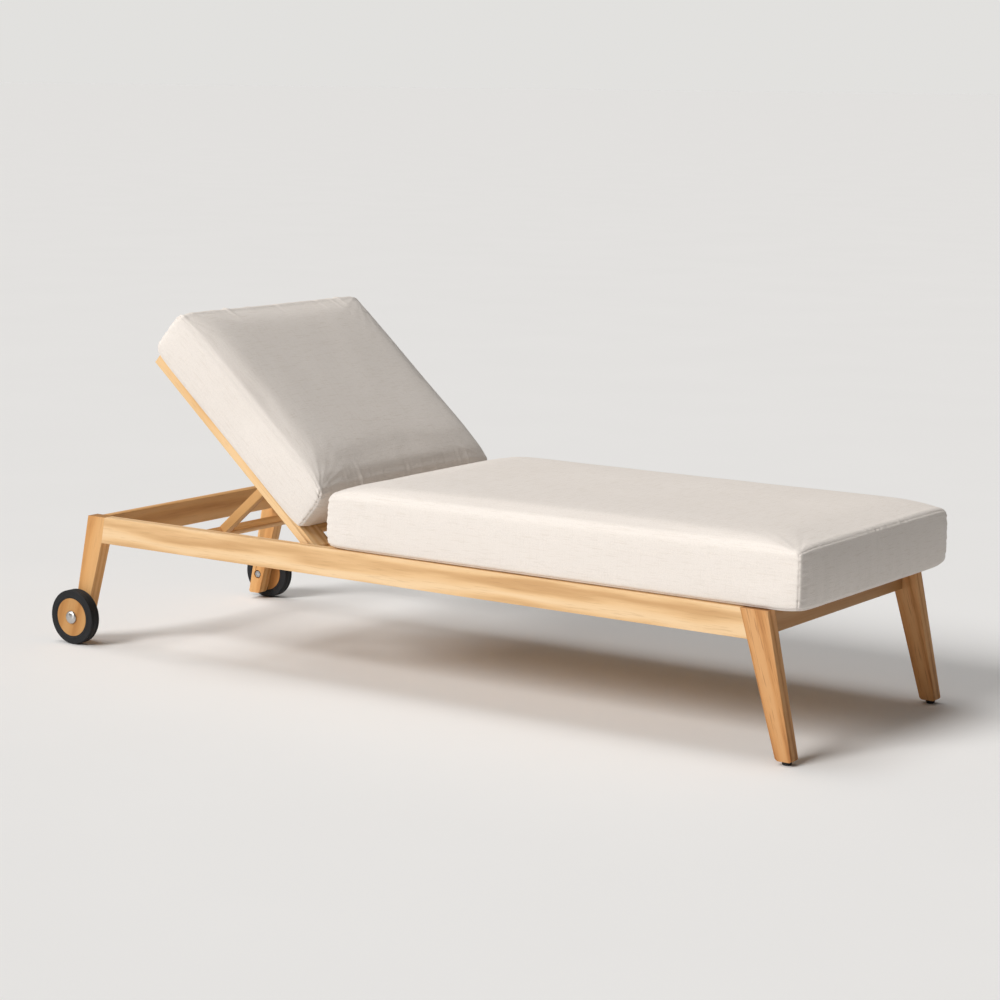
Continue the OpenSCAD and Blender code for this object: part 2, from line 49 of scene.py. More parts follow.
print("frame loaded:", len(frame["nodes"]), "nodes")

# The backrest lies flat at the low end of its hinge's range, so that end gives its lean now.
lean = math.radians(-joints["back_hinge"]["range_deg"][0])
hinge = Vector(joints["back_hinge"]["pos_m"])
upBack = Vector((-math.cos(lean), 0, math.sin(lean)))
outOfBack = Vector((math.sin(lean), 0, math.cos(lean)))
alongProp = Vector((math.cos(lean), 0, math.sin(lean)))
alongX, acrossY = Vector((1, 0, 0)), Vector((0, 1, 0))


def setInputs(node, values):
    for key, value in values.items():
        node.inputs[key].default_value = value


def addNode(tree, kind, **values):
    node = tree.nodes.new(kind)
    for key, value in values.items():
        if key in node.inputs:
            node.inputs[key].default_value = value
        else:
            setattr(node, key, value)
    return node


def newMaterial(name):
    mat = bpy.data.materials.new(name)
    mat.use_nodes = True
    tree = mat.node_tree
    return mat, tree, tree.nodes["Principled BSDF"], addNode(tree, "ShaderNodeTexCoord").outputs


# a socket takes either a link from another node or a plain value
def feed(tree, socket, value):
    if isinstance(value, bpy.types.NodeSocket):
        tree.links.new(value, socket)
    else:
        socket.default_value = value


def blendColors(tree, kind, factor, first, second):
    node = addNode(tree, "ShaderNodeMix", data_type="RGBA", blend_type=kind)
    # the mix node's sockets for colours are its seventh and eighth
    for socket, value in ((node.inputs[0], factor), (node.inputs[6], first), (node.inputs[7], second)):
        feed(tree, socket, value)
    return node.outputs[2]


def mathNode(tree, operation, first, second=0.0, clamp=False):
    node = addNode(tree, "ShaderNodeMath", operation=operation, use_clamp=clamp)
    for socket, value in zip(node.inputs, (first, second)):
        feed(tree, socket, value)
    return node.outputs[0]


def rampNode(tree, source, stops):
    node = addNode(tree, "ShaderNodeValToRGB")
    while len(node.color_ramp.elements) < len(stops):
        node.color_ramp.elements.new(0.5)
    for element, (place, color) in zip(node.color_ramp.elements, stops):
        element.position = place
        element.color = (*color, 1) if len(color) == 3 else color
    tree.links.new(source, node.inputs["Fac"])
    return node.outputs["Color"]


def noiseNode(tree, vector, scale, detail=3.0, roughness=0.5, distortion=0.0):
    node = addNode(tree, "ShaderNodeTexNoise", Scale=scale, Detail=detail, Roughness=roughness,
                   Distortion=distortion)
    tree.links.new(vector, node.inputs["Vector"])
    return node.outputs["Fac"]


def stretched(tree, vector, factors):
    node = addNode(tree, "ShaderNodeVectorMath", operation="MULTIPLY")
    tree.links.new(vector, node.inputs[0])
    node.inputs[1].default_value = factors
    return node.outputs[0]


def bumpNode(tree, height, strength, distance, under=None):
    node = addNode(tree, "ShaderNodeBump", Strength=strength, Distance=distance)
    tree.links.new(height, node.inputs["Height"])
    if under is not None:
        tree.links.new(under, node.inputs["Normal"])
    return node.outputs["Normal"]


# roughness that follows a pattern, from its dark end to its bright end
def patternRoughness(tree, shader, pattern, atDark, atBright):
    rough = addNode(tree, "ShaderNodeMapRange")
    setInputs(rough, {"To Min": atDark, "To Max": atBright})
    tree.links.new(pattern, rough.inputs["Value"])
    tree.links.new(rough.outputs["Result"], shader.inputs["Roughness"])


black, white = (0, 0, 0), (1, 1, 1)
teakLook = {
    "light": (0.84, 0.575, 0.305),
    "middle": (0.775, 0.485, 0.222),
    "dark": (0.60, 0.335, 0.135),
    "pore": (0.42, 0.215, 0.08),
    "endGrain": (0.52, 0.30, 0.13),
    "roughness": (0.64, 0.46),      # in the dark and in the pale streaks
    "ringScale": 17.0,
    "ringDistortion": 5.5,
    "ringStretch": (0.10, 1.0, 0.8),
    "ringShare": 0.34,              # how much each pattern adds to the figure
    "broadScale": 9.0,
    "broadStretch": 0.16,
    "broadShare": 0.55,
    "streakScale": 150.0,
    "streakStretch": 0.05,
    "streakShare": 0.22,
    "stops": (0.30, 0.50, 0.74),    # where the figure is dark, middle and light
    "poreScale": 420.0,
    "poreStretch": 0.045,
    "poreShare": 0.24,
    "poreBump": (0.30, 0.0004),     # strength and depth
    "streakBump": (0.25, 0.0006),
    "speckleScale": 700.0,
    "speckleDark": 0.62,
    "endShare": 0.85,
    "gloss": 0.32,
}


def teak(name, grain, tone, shift, look):
    mat, tree, shader, coords = newMaterial(name)
    grain = Vector(grain).normalized()
    # each board is cut from another place in the tree
    mapping = addNode(tree, "ShaderNodeMapping", Location=(shift * 1.7, shift * 0.61, shift * 0.37),
                      Rotation=grain.rotation_difference(alongX).to_euler())
    tree.links.new(coords["Object"], mapping.inputs["Vector"])
    place = mapping.outputs["Vector"]

    # along the grain, which is local X here, every pattern is drawn out
    slow = stretched(tree, place, (look["broadStretch"], 1.0, 1.0))
    streak = stretched(tree, place, (look["streakStretch"], 1.0, 1.0))
    pore = stretched(tree, place, (look["poreStretch"], 1.0, 1.0))
    rings = addNode(tree, "ShaderNodeTexWave", wave_type="RINGS", rings_direction="X",
                    Scale=look["ringScale"], Distortion=look["ringDistortion"], Detail=2.5)
    setInputs(rings, {"Detail Scale": 1.1, "Detail Roughness": 0.55})
    tree.links.new(stretched(tree, place, look["ringStretch"]), rings.inputs["Vector"])
    broad = noiseNode(tree, slow, look["broadScale"], 3.0, 0.55, 0.4)
    fine = noiseNode(tree, streak, look["streakScale"], 4.0, 0.6)
    pores = noiseNode(tree, pore, look["poreScale"], 2.0, 0.5)

    def toned(part):
        return tuple(c * t for c, t in zip(look[part], tone))

    figure = mathNode(tree, "ADD", mathNode(tree, "MULTIPLY", rings.outputs["Fac"], look["ringShare"]),
                      mathNode(tree, "MULTIPLY", broad, look["broadShare"]))
    figure = mathNode(tree, "ADD", figure, mathNode(tree, "MULTIPLY", fine, look["streakShare"]),
                      clamp=True)
    shades = zip(look["stops"], ("dark", "middle", "light"))
    body = rampNode(tree, figure, [(at, toned(shade)) for at, shade in shades])
    poreMask = rampNode(tree, pores, [(0.30, white), (0.42, black)])
    dotted = blendColors(tree, "MIX", mathNode(tree, "MULTIPLY", poreMask, look["poreShare"]), body,
                         (*toned("pore"), 1))
    # board ends are darker, with speckled end grain
    facing = addNode(tree, "ShaderNodeVectorMath", operation="DOT_PRODUCT")
    tree.links.new(coords["Normal"], facing.inputs[0])
    facing.inputs[1].default_value = grain
    ends = mathNode(tree, "ABSOLUTE", facing.outputs["Value"])
    ends = rampNode(tree, ends, [(0.80, black), (0.92, white)])
    speckle = noiseNode(tree, place, look["speckleScale"], 2.0, 0.6)
    endDark = [c * look["speckleDark"] for c in toned("endGrain")]
    endColor = rampNode(tree, speckle, [(0.35, endDark), (0.62, toned("endGrain"))])
    final = blendColors(tree, "MIX", mathNode(tree, "MULTIPLY", ends, look["endShare"]), dotted, endColor)
    tree.links.new(final, shader.inputs["Base Color"])

    patternRoughness(tree, shader, fine, *look["roughness"])
    grooves = bumpNode(tree, pores, *look["poreBump"])
    tree.links.new(bumpNode(tree, fine, *look["streakBump"], grooves), shader.inputs["Normal"])
    shader.inputs["Specular IOR Level"].default_value = look["gloss"]
    return mat


linenLook = {
    "light": (0.865, 0.812, 0.765),
    "middle": (0.815, 0.757, 0.705),
    "slub": (0.66, 0.585, 0.505),
    "threadPitch": 0.0016,
    "slubLength": 26.0,               # slubs per metre along a thread, and across the threads
    "slubCount": 430.0,
    "slubShare": (0.75, 1.0, 0.35),   # how much the threads along each axis show
    "slubTint": 0.48,
    "cloudScale": 5.0,
    "fleckScale": 520.0,
    "fleckShare": 0.5,
    "weaveBump": (0.35, 0.0005),      # strength and depth
    "slubBump": (0.45, 0.0004),
    "roughness": 0.92,
    "gloss": 0.18,
    "sheen": 0.16,
    "sheenRoughness": 0.55,
}


def linen(name, shift, look=linenLook):
    mat, tree, shader, coords = newMaterial(name)
    moved = addNode(tree, "ShaderNodeVectorMath", operation="ADD")
    tree.links.new(coords["Object"], moved.inputs[0])
    moved.inputs[1].default_value = (shift, shift * 0.7, shift * 0.3)
    place = moved.outputs[0]
    normal = addNode(tree, "ShaderNodeSeparateXYZ")
    tree.links.new(coords["Normal"], normal.inputs[0])

    # threads run along each axis, and show on the faces that hold that axis
    slubs, weave = None, None
    for axis in range(3):
        away = mathNode(tree, "ABSOLUTE", normal.outputs[axis])
        shows = mathNode(tree, "SUBTRACT", 1.0, mathNode(tree, "MULTIPLY", away, 1.35), clamp=True)
        along = [look["slubCount"]] * 3
        along[axis] = look["slubLength"]
        threads = noiseNode(tree, stretched(tree, place, along), 1.0, 2.0, 0.6)
        threads = rampNode(tree, threads, [(0.54, black), (0.76, white)])
        share = mathNode(tree, "MULTIPLY", shows, look["slubShare"][axis])
        part = mathNode(tree, "MULTIPLY", threads, share)
        slubs = part if slubs is None else mathNode(tree, "ADD", slubs, part, clamp=True)
        # a wave texture of scale 1 repeats every 0.314 units
        comb = addNode(tree, "ShaderNodeTexWave", bands_direction="XYZ"[axis], wave_profile="SIN",
                       Scale=0.314 / look["threadPitch"], Distortion=1.2, Detail=2.0)
        comb.inputs["Detail Scale"].default_value = 0.6
        tree.links.new(place, comb.inputs["Vector"])
        part = mathNode(tree, "MULTIPLY", comb.outputs["Fac"], shows)
        weave = part if weave is None else mathNode(tree, "ADD", weave, part)

    cloudy = noiseNode(tree, place, look["cloudScale"], 3.0, 0.5)
    flecks = noiseNode(tree, place, look["fleckScale"], 2.0, 0.7)
    base = blendColors(tree, "MIX", cloudy, (*look["middle"], 1), (*look["light"], 1))
    tinted = mathNode(tree, "MULTIPLY", slubs, look["slubTint"])
    base = blendColors(tree, "MIX", tinted, base, (*look["slub"], 1))
    fleck = rampNode(tree, flecks, [(0.34, (0.86, 0.86, 0.86)), (0.62, (1.03, 1.02, 1.01))])
    base = blendColors(tree, "MULTIPLY", look["fleckShare"], base, fleck)
    tree.links.new(base, shader.inputs["Base Color"])
    threadBump = bumpNode(tree, weave, *look["weaveBump"])
    tree.links.new(bumpNode(tree, slubs, *look["slubBump"], threadBump), shader.inputs["Normal"])
    setInputs(shader, {"Roughness": look["roughness"], "Specular IOR Level": look["gloss"],
                       "Sheen Weight": look["sheen"], "Sheen Roughness": look["sheenRoughness"]})
    return mat


rubberLook = {
    "gritScale": 900.0,
    "gritBump": (0.25, 0.0003),
    "dustScale": 38.0,
    "dustLightens": 2.4,
    "dustMost": 0.4,
    "roughness": (0.52, 0.72),
    "gloss": 0.28,
}


def rubber(name, color, look=rubberLook):
    mat, tree, shader, coords = newMaterial(name)
    grit = noiseNode(tree, coords["Object"], look["gritScale"], 3.0, 0.6)
    dust = noiseNode(tree, coords["Object"], look["dustScale"], 4.0, 0.6)
    dustMask = rampNode(tree, dust, [(0.45, black), (0.85, [look["dustMost"]] * 3)])
    dusty = blendColors(tree, "MIX", dustMask, (*color, 1), (*[c * look["dustLightens"] for c in color], 1))
    tree.links.new(dusty, shader.inputs["Base Color"])
    patternRoughness(tree, shader, dust, *look["roughness"])
    tree.links.new(bumpNode(tree, grit, *look["gritBump"]), shader.inputs["Normal"])
    shader.inputs["Specular IOR Level"].default_value = look["gloss"]
    return mat


steelLook = {
    "smearScale": 60.0,
    "smearDark": 0.86,
    "roughness": (0.26, 0.38),
    "lineScale": 1400.0,
    "lineBump": (0.06, 0.0002),
    "ringScale": 520.0,         # fine turned rings
    "ringBump": (0.10, 0.0001),
    "stretchedGloss": 0.7,
}


# turnedRound: the middle of the fine rings that run round the axle, or None for a plain finish
def brushedSteel(name, base, turnedRound=None, look=steelLook):
    mat, tree, shader, coords = newMaterial(name)
    smear = noiseNode(tree, coords["Object"], look["smearScale"], 3.0, 0.5)
    shade = rampNode(tree, smear, [(0.3, [c * look["smearDark"] for c in base]), (0.7, base)])
    tree.links.new(shade, shader.inputs["Base Color"])
    shader.inputs["Metallic"].default_value = 1.0
    patternRoughness(tree, shader, smear, *look["roughness"])
    if turnedRound is None:
        lines = noiseNode(tree, coords["Object"], look["lineScale"], 2.0, 0.6)
        tree.links.new(bumpNode(tree, lines, *look["lineBump"]), shader.inputs["Normal"])
        return mat
    centred = addNode(tree, "ShaderNodeVectorMath", operation="SUBTRACT")
    tree.links.new(coords["Object"], centred.inputs[0])
    centred.inputs[1].default_value = turnedRound
    rings = addNode(tree, "ShaderNodeTexWave", wave_type="RINGS", rings_direction="Y",
                    Scale=look["ringScale"], Distortion=0.4, Detail=2.0)
    tree.links.new(centred.outputs[0], rings.inputs["Vector"])
    tree.links.new(bumpNode(tree, rings.outputs["Fac"], *look["ringBump"]), shader.inputs["Normal"])
    tangent = addNode(tree, "ShaderNodeTangent", direction_type="RADIAL", axis="Y")
    tree.links.new(tangent.outputs[0], shader.inputs["Tangent"])
    shader.inputs["Anisotropic"].default_value = look["stretchedGloss"]
    return mat


nylonLook = {
    "color": (0.80, 0.79, 0.75),
    "hazeScale": 120.0,
    "hazeDark": 0.92,
    "hazeBump": (0.1, 0.0003),
    "roughness": 0.42,
}


def nylon(name, look=nylonLook):
    mat, tree, shader, coords = newMaterial(name)
    haze = noiseNode(tree, coords["Object"], look["hazeScale"], 3.0, 0.6)
    darker = [c * look["hazeDark"] for c in look["color"]]
    hazed = rampNode(tree, haze, [(0.3, darker), (0.7, look["color"])])
    tree.links.new(hazed, shader.inputs["Base Color"])
    tree.links.new(bumpNode(tree, haze, *look["hazeBump"]), shader.inputs["Normal"])
    shader.inputs["Roughness"].default_value = look["roughness"]
    return mat


def setMaterial(obj, mat):
    obj.data.materials.clear()
    obj.data.materials.append(mat)


def addObject(name, data):
    obj = bpy.data.objects.new(name, data)
    bpy.context.scene.collection.objects.link(obj)
    return obj


# a new piece that stands for a CAD node and rides on its body
def addPiece(name, mesh, node, mat, place=None):
    obj = addObject(name, mesh)
    if place is not None:
        obj.matrix_world = place
    setMaterial(obj, mat)
    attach(obj, bodyOf[node])
    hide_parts(node)
    return obj


# wood pieces: the CAD shape with its edges eased
woodEdges = {
    "ease": 0.0024,         # free edges
    "legEase": 0.0040,      # the legs are rounded more
    "seamEase": 0.0004,     # edges that meet another piece
    "segments": 4,
    "touch": 0.0006,        # how near another piece has to be to meet an edge
    "sharpFrom": 22,        # degrees between two faces with an edge worth easing
    "facetLength": 0.0035,  # shorter edges up to this angle are facets round a bore, and stay sharp
    "facetUpTo": 100,
    "smoothUpTo": 34,
}
boxes = {node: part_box(node) for node in frame["nodes"]}


def boxesMeet(a, b, margin=0.002):
    return all(a[0][i] - margin <= b[1][i] and b[0][i] - margin <= a[1][i] for i in range(3))


cadTrees = {}


# a tree of a CAD node's faces, to find what lies near a point; each is built once
def cadTree(node):
    if node not in cadTrees:
        mesh = frame["nodes"][node].data
        cadTrees[node] = BVHTree.FromPolygons([v.co for v in mesh.vertices],
                                              [p.vertices for p in mesh.polygons])
    return cadTrees[node]


def camelName(node):
    first, *rest = node.split("_")
    return first + "".join(word.title() for word in rest)


def easedWood(node, mat, spec=woodEdges):
    ease = spec["legEase"] if "_leg_" in node else spec["ease"]
    work = bmesh.new()
    work.from_mesh(frame["nodes"][node].data)
    bmesh.ops.remove_doubles(work, verts=work.verts, dist=1e-5)
    bmesh.ops.dissolve_limit(work, angle_limit=math.radians(1.0), verts=work.verts, edges=work.edges)
    near = [cadTree(n) for n in frame["nodes"]
            if n != node and bodyOf[n] == bodyOf[node] and slotOf[n].endswith("wood")
            and boxesMeet(boxes[n], boxes[node])]
    weights = work.edges.layers.float.new("bevel_weight_edge")
    for edge in work.edges:
        turn = edge.calc_face_angle(0)
        if len(edge.link_faces) != 2 or turn < math.radians(spec["sharpFrom"]):
            continue
        if edge.calc_length() < spec["facetLength"] and turn < math.radians(spec["facetUpTo"]):
            continue
        ends = [v.co for v in edge.verts]
        points = [ends[0].lerp(ends[1], t) for t in (0.08, 0.5, 0.92)]
        meets = any(tree.find_nearest(p, spec["touch"])[0] is not None for tree in near for p in points)
        edge[weights] = spec["seamEase"] / ease if meets else 1.0
    mesh = bpy.data.meshes.new(node + "_wood")
    work.to_mesh(mesh)
    work.free()
    holder = addObject("holder", mesh)
    bevel = holder.modifiers.new("ease", "BEVEL")
    bevel.limit_method = "WEIGHT"
    bevel.width = ease
    bevel.segments = spec["segments"]
    bevel.use_clamp_overlap = True
    final = bpy.data.meshes.new_from_object(holder.evaluated_get(bpy.context.evaluated_depsgraph_get()))
    bpy.data.objects.remove(holder)
    final.shade_smooth()
    final.set_sharp_from_angle(angle=math.radians(spec["smoothUpTo"]))
    addPiece(camelName(node), final, node, mat)


headLegGrain = Vector((-59, 0, -298))   # down the splayed legs
footLegGrain = Vector((91, 0, -306))
grainOf = {
    "side_rail": alongX, "slat_bearer": alongX, "prop_ladder": alongX, "head_rail": acrossY,
    "foot_rail": acrossY, "hinge_rail": acrossY, "seat_slat": acrossY, "back_slat": acrossY,
    "head_leg": headLegGrain, "foot_leg": footLegGrain, "back_stile": upBack,
    "prop_arm": alongProp, "prop_crossbar": acrossY, "wheel_disc": Vector((0.3, 0, 1)),
    "rail_dowels": alongX, "prop_dowels": alongProp,
}
# how each family's boards differ from the palest teak, in red, green and blue; the foot rail's tone is also
# darkened by about a quarter as painted shade, standing in for the shade under the seat cushion
toneOf = {
    "side_rail": (1.00, 1.06, 1.20), "head_rail": (0.86, 0.76, 0.66), "foot_rail": (0.52, 0.42, 0.33),
    "hinge_rail": (0.84, 0.78, 0.70), "slat_bearer": (0.80, 0.72, 0.60), "prop_ladder": (0.64, 0.52, 0.38),
    "head_leg": (0.90, 0.75, 0.59), "foot_leg": (0.76, 0.60, 0.48), "seat_slat": (0.90, 0.84, 0.74),
    "back_stile": (0.97, 0.98, 1.00), "back_slat": (0.92, 0.88, 0.80), "prop_arm": (0.76, 0.64, 0.48),
    "prop_crossbar": (0.84, 0.74, 0.62), "wheel_disc": (0.66, 0.51, 0.34),
}
legTeak = {**teakLook, "dark": (0.52, 0.275, 0.105), "pore": (0.30, 0.13, 0.04), "broadShare": 0.62,
           "streakShare": 0.36, "poreShare": 0.42, "stops": (0.44, 0.62, 0.84)}
random.seed(11)
for count, node in enumerate(sorted(frame["nodes"])):
    if not slotOf[node].endswith("wood"):
        continue
    family = next(k for k in grainOf if node.startswith(k))
    vary = 0.95 + 0.09 * random.random()
    tone = [c * vary for c in toneOf.get(family, (0.9, 0.85, 0.8))]
    look = legTeak if family == "foot_leg" else teakLook
    wood = teak("teak_" + node, grainOf[family], tone, 0.37 * count + random.random(), look)
    if node.endswith("dowels"):
        setMaterial(frame["nodes"][node], wood)
    else:
        easedWood(node, wood)
print("wood pieces eased and grained")


# a mesh of revolution about local Z from (radius, height) points
def revolve(outline, steps, closed=True):
    work = bmesh.new()
    rings = []
    for k in range(steps):
        a = 2 * math.pi * k / steps
        rings.append([work.verts.new((r * math.cos(a), r * math.sin(a), h)) if r > 1e-7 else None
                      for r, h in outline])
    centre = {}
    for i, (r, h) in enumerate(outline):
        if r <= 1e-7:
            centre[i] = work.verts.new((0, 0, h))
    count = len(outline)
    for k in range(steps):
        here, there = rings[k], rings[(k + 1) % steps]
        for i in range(count if closed else count - 1):
            j = (i + 1) % count
            corners = [here[i] or centre[i], there[i] or centre[i], there[j] or centre[j],
                       here[j] or centre[j]]
            unique = list(dict.fromkeys(corners))
            if len(unique) > 2:
                work.faces.new(unique)
    bmesh.ops.recalc_face_normals(work, faces=work.faces)
    mesh = bpy.data.meshes.new("turned")
    work.to_mesh(mesh)
    work.free()
    mesh.shade_smooth()
    return mesh


# points of a small arc that rounds an outline's corner
def roundedCorner(corner, before, after, radius, steps=4):
    c, a, b = Vector(corner), Vector(before), Vector(after)
    u, v = (a - c).normalized(), (b - c).normalized()
    start, end = c + u * radius, c + v * radius
    return [tuple((start * (1 - t) + c * t) * (1 - t) + (c * (1 - t) + end * t) * t)
            for t in [i / steps for i in range(steps + 1)]]


def rounded(corners):
    outline = [point for point, _ in corners]
    points = []
    for i, (point, radius) in enumerate(corners):
        if radius <= 0:
            points.append(point)
        else:
            points += roundedCorner(point, outline[i - 1], outline[(i + 1) % len(outline)], radius)
    return points


wheelSpec = {
    "tyreSegments": 160,
    "shoulder": 0.0022,
    "wallRing": 0.0008,          # low ring on each wall of the tyre
    "ringPlaces": (0.22, 0.34),  # its edges, as shares of the wall from the disc outwards
    "ringSlope": 0.0008,
    "bead": 0.0008,              # the tyre's small step beside the disc
    "soft": 0.0005,
    "crisp": 0.0004,
    "grooveDepth": 0.0014,       # two grooves run round the tread
    "grooveWidth": 0.0030,
    "groovePlaces": (0.25, 0.75),
    "domeSegments": 72,
    "domeSteps": 14,
    "domeHeight": 0.0075,        # the axle bolt's head, with a straight rim under its dome
    "rimHeight": 0.0012,
    "shankRadius": 0.005,
    "shankTip": 0.0006,
}
blackRubber = rubber("tyreRubber", (0.013, 0.0135, 0.015))
glideRubber = rubber("glideRubber", (0.018, 0.018, 0.019))
plainSteel = brushedSteel("plainSteel", (0.50, 0.50, 0.50))
whiteNylon = nylon("whiteNylon")


def tyrePiece(side, spec=wheelSpec):
    node = "tyre_" + side
    low, high = boxes[node]
    discLow, discHigh = boxes["wheel_disc_" + side]
    outer, width = (high.z - low.z) / 2, high.y - low.y
    inner = (discHigh.z - discLow.z) / 2
    wall, depth, half = spec["wallRing"], spec["grooveDepth"], spec["grooveWidth"] / 2
    ringIn, ringOut = [inner + (outer - inner) * share for share in spec["ringPlaces"]]
    slope, bead, soft, crisp = spec["ringSlope"], spec["bead"], spec["soft"], spec["crisp"]
    # the outline's corners, each with the radius that rounds it
    nearWall = [((inner, bead), 0), ((inner + 0.0010, 0.0), crisp), ((ringIn, 0.0), soft),
                ((ringIn + slope, -wall), crisp), ((ringOut - slope, -wall), crisp),
                ((ringOut, 0.0), soft), ((outer, 0.0), spec["shoulder"])]
    tread = []
    for share in spec["groovePlaces"]:
        middle = share * width
        tread += [((outer, middle - half), soft), ((outer - depth, middle - half * 0.5), crisp),
                  ((outer - depth, middle + half * 0.5), crisp), ((outer, middle + half), soft)]
    farWall = [((r, width - h), radius) for (r, h), radius in reversed(nearWall)]
    mesh = revolve(rounded(nearWall + tread + farWall), spec["tyreSegments"])
    middle = (low + high) / 2
    place = Matrix.Translation((middle.x, low.y, middle.z))
    mesh.transform(place @ Matrix.Rotation(math.radians(-90), 4, "X"))
    mesh.set_sharp_from_angle(angle=math.radians(50))
    addPiece("tyre" + side.title(), mesh, node, blackRubber)


def boltPiece(side, spec=wheelSpec):
    node = "axle_bolt_" + side
    low, high = boxes[node]
    radius, reach = (high.z - low.z) / 2, high.y - low.y
    shank, rim = spec["shankRadius"], spec["rimHeight"]
    seat = reach - spec["domeHeight"]
    tip, edge = spec["shankTip"], spec["crisp"]
    outline = [(0, 0), (shank - tip, 0), (shank, tip), (shank, seat), (radius - edge, seat),
               (radius, seat + edge), (radius, seat + rim)]
    for step in range(1, spec["domeSteps"]):
        a = math.pi / 2 * step / spec["domeSteps"]
        outline.append((radius * math.cos(a), seat + rim + math.sin(a) * (spec["domeHeight"] - rim)))
    mesh = revolve(outline + [(0, reach)], spec["domeSegments"], closed=False)
    middle = (low + high) / 2
    start, angle = (low.y, -90) if side == "left" else (high.y, 90)
    place = Matrix.Translation((middle.x, start, middle.z))
    mesh.transform(place @ Matrix.Rotation(math.radians(angle), 4, "X"))
    mesh.set_sharp_from_angle(angle=math.radians(40))
    steel = brushedSteel(node + "_steel", (0.60, 0.59, 0.58), (middle.x, middle.y, middle.z))
    addPiece("axleBolt" + side.title(), mesh, node, steel)


for side in ("left", "right"):
    tyrePiece(side)
    boltPiece(side)
plainFinish = {"steel": plainSteel, "nylon": whiteNylon, "glide_rubber": glideRubber}
for node in frame["nodes"]:
    if slotOf[node] in plainFinish:
        setMaterial(frame["nodes"][node], plainFinish[slotOf[node]])
print("wheels and metal finished")


seatSpec = {
    "pitch": (0.0030, 0.0085),     # spacing of the mesh at the seams and in the middle
    "round": (0.006, 0.013, 0.014, 0.012),   # ends, sides, top edge and base edge
    "sink": 0.0035,                # how far the faces start inside the cover's shape
    "cap": 0.024,                  # furthest that a point may move while the filling swells
    "looseCover": 0.004,           # spare length in the cover
    "held": 0.0030,                # how far the filling may stray from the cover's shape
    "crown": 0.0185,
    "crownReach": 0.034,           # how far from the edges the crown is still rising
    "farEndRise": 0.0,             # extra height at the end away from the hinge
    "sideBulge": 0.004,
    "cornerTuck": 0.006,           # how far the corners are pulled towards mid height
    "frontRadius": 0.022,          # the rolled top edge at the end nearest the hinge
    "pucker": 0.0017,              # height of the gathers
    "fill": 0.75,
    "seed": 3,
}
backSpec = {
    "pitch": (0.0030, 0.0078),
    "round": (0.009, 0.014, 0.015, 0.018),
    "sink": 0.0035,
    "cap": 0.026,
    "looseCover": 0.006,
    "held": 0.0035,
    "crown": 0.018,
    "crownReach": 0.042,
    "farEndRise": 0.0015,
    "sideBulge": 0.005,
    "cornerTuck": 0.006,
    "frontRadius": 0.054,
    "pucker": 0.0030,
    "fill": 0.7,
    "seed": 8,
}


# evenly changing steps from fine at both ends to coarse in the middle, from 0 to length
def gradedSteps(length, fine, coarse, growth=1.22):
    half, total = [0.0], 0.0
    step = fine
    while total < length / 2:
        total += step
        half.append(total)
        step = min(coarse, step * growth)
    half = [v * (length / 2) / total for v in half]
    return half + [length - v for v in reversed(half[:-1])]


# a closed box mesh whose lines bunch up at the seams; also says which faces each point lies on
def gridBox(size, pitch, uprightPitch=0.007):
    steps = [gradedSteps(size[0], *pitch), gradedSteps(size[1], *pitch),
             gradedSteps(size[2], pitch[0], uprightPitch)]
    counts = [len(v) - 1 for v in steps]
    index, points, lattice, faces = {}, [], [], []

    def vertex(i, j, k):
        if (i, j, k) not in index:
            index[(i, j, k)] = len(points)
            points.append((steps[0][i], steps[1][j] - size[1] / 2, steps[2][k]))
            lattice.append((i in (0, counts[0]), j in (0, counts[1]), k == 0, k == counts[2]))
        return index[(i, j, k)]

    for axis in range(3):
        a, b = [n for n in range(3) if n != axis]
        for end in (0, counts[axis]):
            for u in range(counts[a]):
                for v in range(counts[b]):
                    corners = []
                    for du, dv in ((0, 0), (1, 0), (1, 1), (0, 1)):
                        place = [0, 0, 0]
                        place[axis], place[a], place[b] = end, u + du, v + dv
                        corners.append(vertex(*place))
                    # the face's winding points its normal outwards
                    outwards = (end > 0) == (axis != 1)
                    faces.append(corners if outwards else corners[::-1])
    mesh = bpy.data.meshes.new("gridBox")
    mesh.from_pydata(points, [], faces)
    mesh.update()
    return mesh, np.array(lattice, bool)


def applied(obj):
    bpy.context.view_layer.update()
    return bpy.data.meshes.new_from_object(obj.evaluated_get(bpy.context.evaluated_depsgraph_get()))


# one vector per point, read out of a mesh collection or a mesh attribute
def vectorsOf(rows, key):
    flat = np.empty(len(rows) * 3, np.float32)
    rows.foreach_get(key, flat)
    return flat.reshape(-1, 3).astype(float)


def coordsOf(mesh):
    return vectorsOf(mesh.vertices, "co")


def normalsOf(mesh):
    return vectorsOf(mesh.vertex_normals, "vector")


def putCoords(mesh, places):
    mesh.vertices.foreach_set("co", places.astype(np.float32).ravel())
    mesh.update()


# a repeatable wavy line: sines of the given wave lengths with seeded phases
def waves(s, seed, lengths, power=1.0):
    rng = np.random.default_rng(seed)
    total = np.zeros_like(s)
    for length in lengths:
        phase, size = rng.uniform(0, 2 * math.pi), rng.uniform(0.6, 1.0)
        total += size * np.sin(2 * math.pi * s / length + phase)
    total /= len(lengths)
    return np.sign(total) * np.abs(total) ** power


def smooth01(t):
    t = np.clip(t, 0, 1)
    return t * t * (3 - 2 * t)


def rises(distance, reach):
    return 1 - np.exp(-np.maximum(distance, 0) / reach)


# distances of points from the ends, the sides, the top and the base of the block
def fromFaces(p, size):
    ends = np.minimum(p[:, 0], size[0] - p[:, 0])
    sides = np.minimum(p[:, 1] + size[1] / 2, size[1] / 2 - p[:, 1])
    return ends, sides, size[2] - p[:, 2], p[:, 2]


